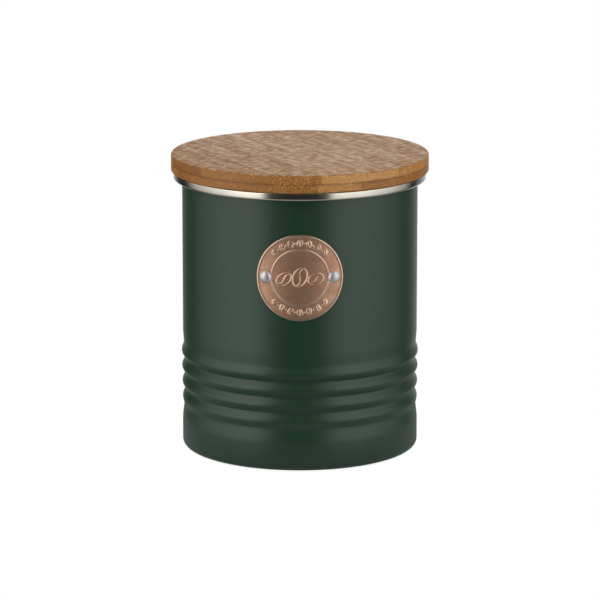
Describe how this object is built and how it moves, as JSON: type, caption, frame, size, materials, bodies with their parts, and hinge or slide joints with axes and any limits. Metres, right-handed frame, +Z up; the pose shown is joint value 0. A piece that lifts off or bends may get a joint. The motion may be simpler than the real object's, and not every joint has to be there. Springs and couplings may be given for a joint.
{
  "type": "lidded storage tin",
  "caption": "Round painted steel storage tin with rolled ribs, a polished rim band, a riveted copper badge and a lift-off wooden lid with a soft seal.",
  "frame": {"origin": "centre of the ring that the tin stands on, at table height", "axes": "+Z up along the tin's axis; the badge faces -Y; +X is to the right as seen from the badge side"},
  "size_m": [0.12, 0.12, 0.139],
  "materials": {
    "green_paint": "satin powder coat",
    "tinned_steel": "satin",
    "polished_steel": "polished",
    "copper": "brushed antique copper",
    "rivet_aluminium": "satin",
    "bamboo_top": "oiled matte",
    "bamboo_side": "oiled satin",
    "bamboo_plug": "oiled matte",
    "silicone": "translucent matte"
  },
  "bodies": {
    "tin": {"body_shell": "green_paint", "base_panel": "tinned_steel", "rim_band": "polished_steel", "badge_plate": "copper", "badge_rivets": "rivet_aluminium"},
    "lid": {"lid_top_board": "bamboo_top", "lid_lower_board": "bamboo_side", "lid_plug": "bamboo_plug", "lid_seal": "silicone"}
  },
  "joints": [
    {"name": "lid_lift", "type": "slide", "parent": "tin", "child": "lid", "axis": [0, 0, 1], "range_m": [0, 0.06]}
  ]
}
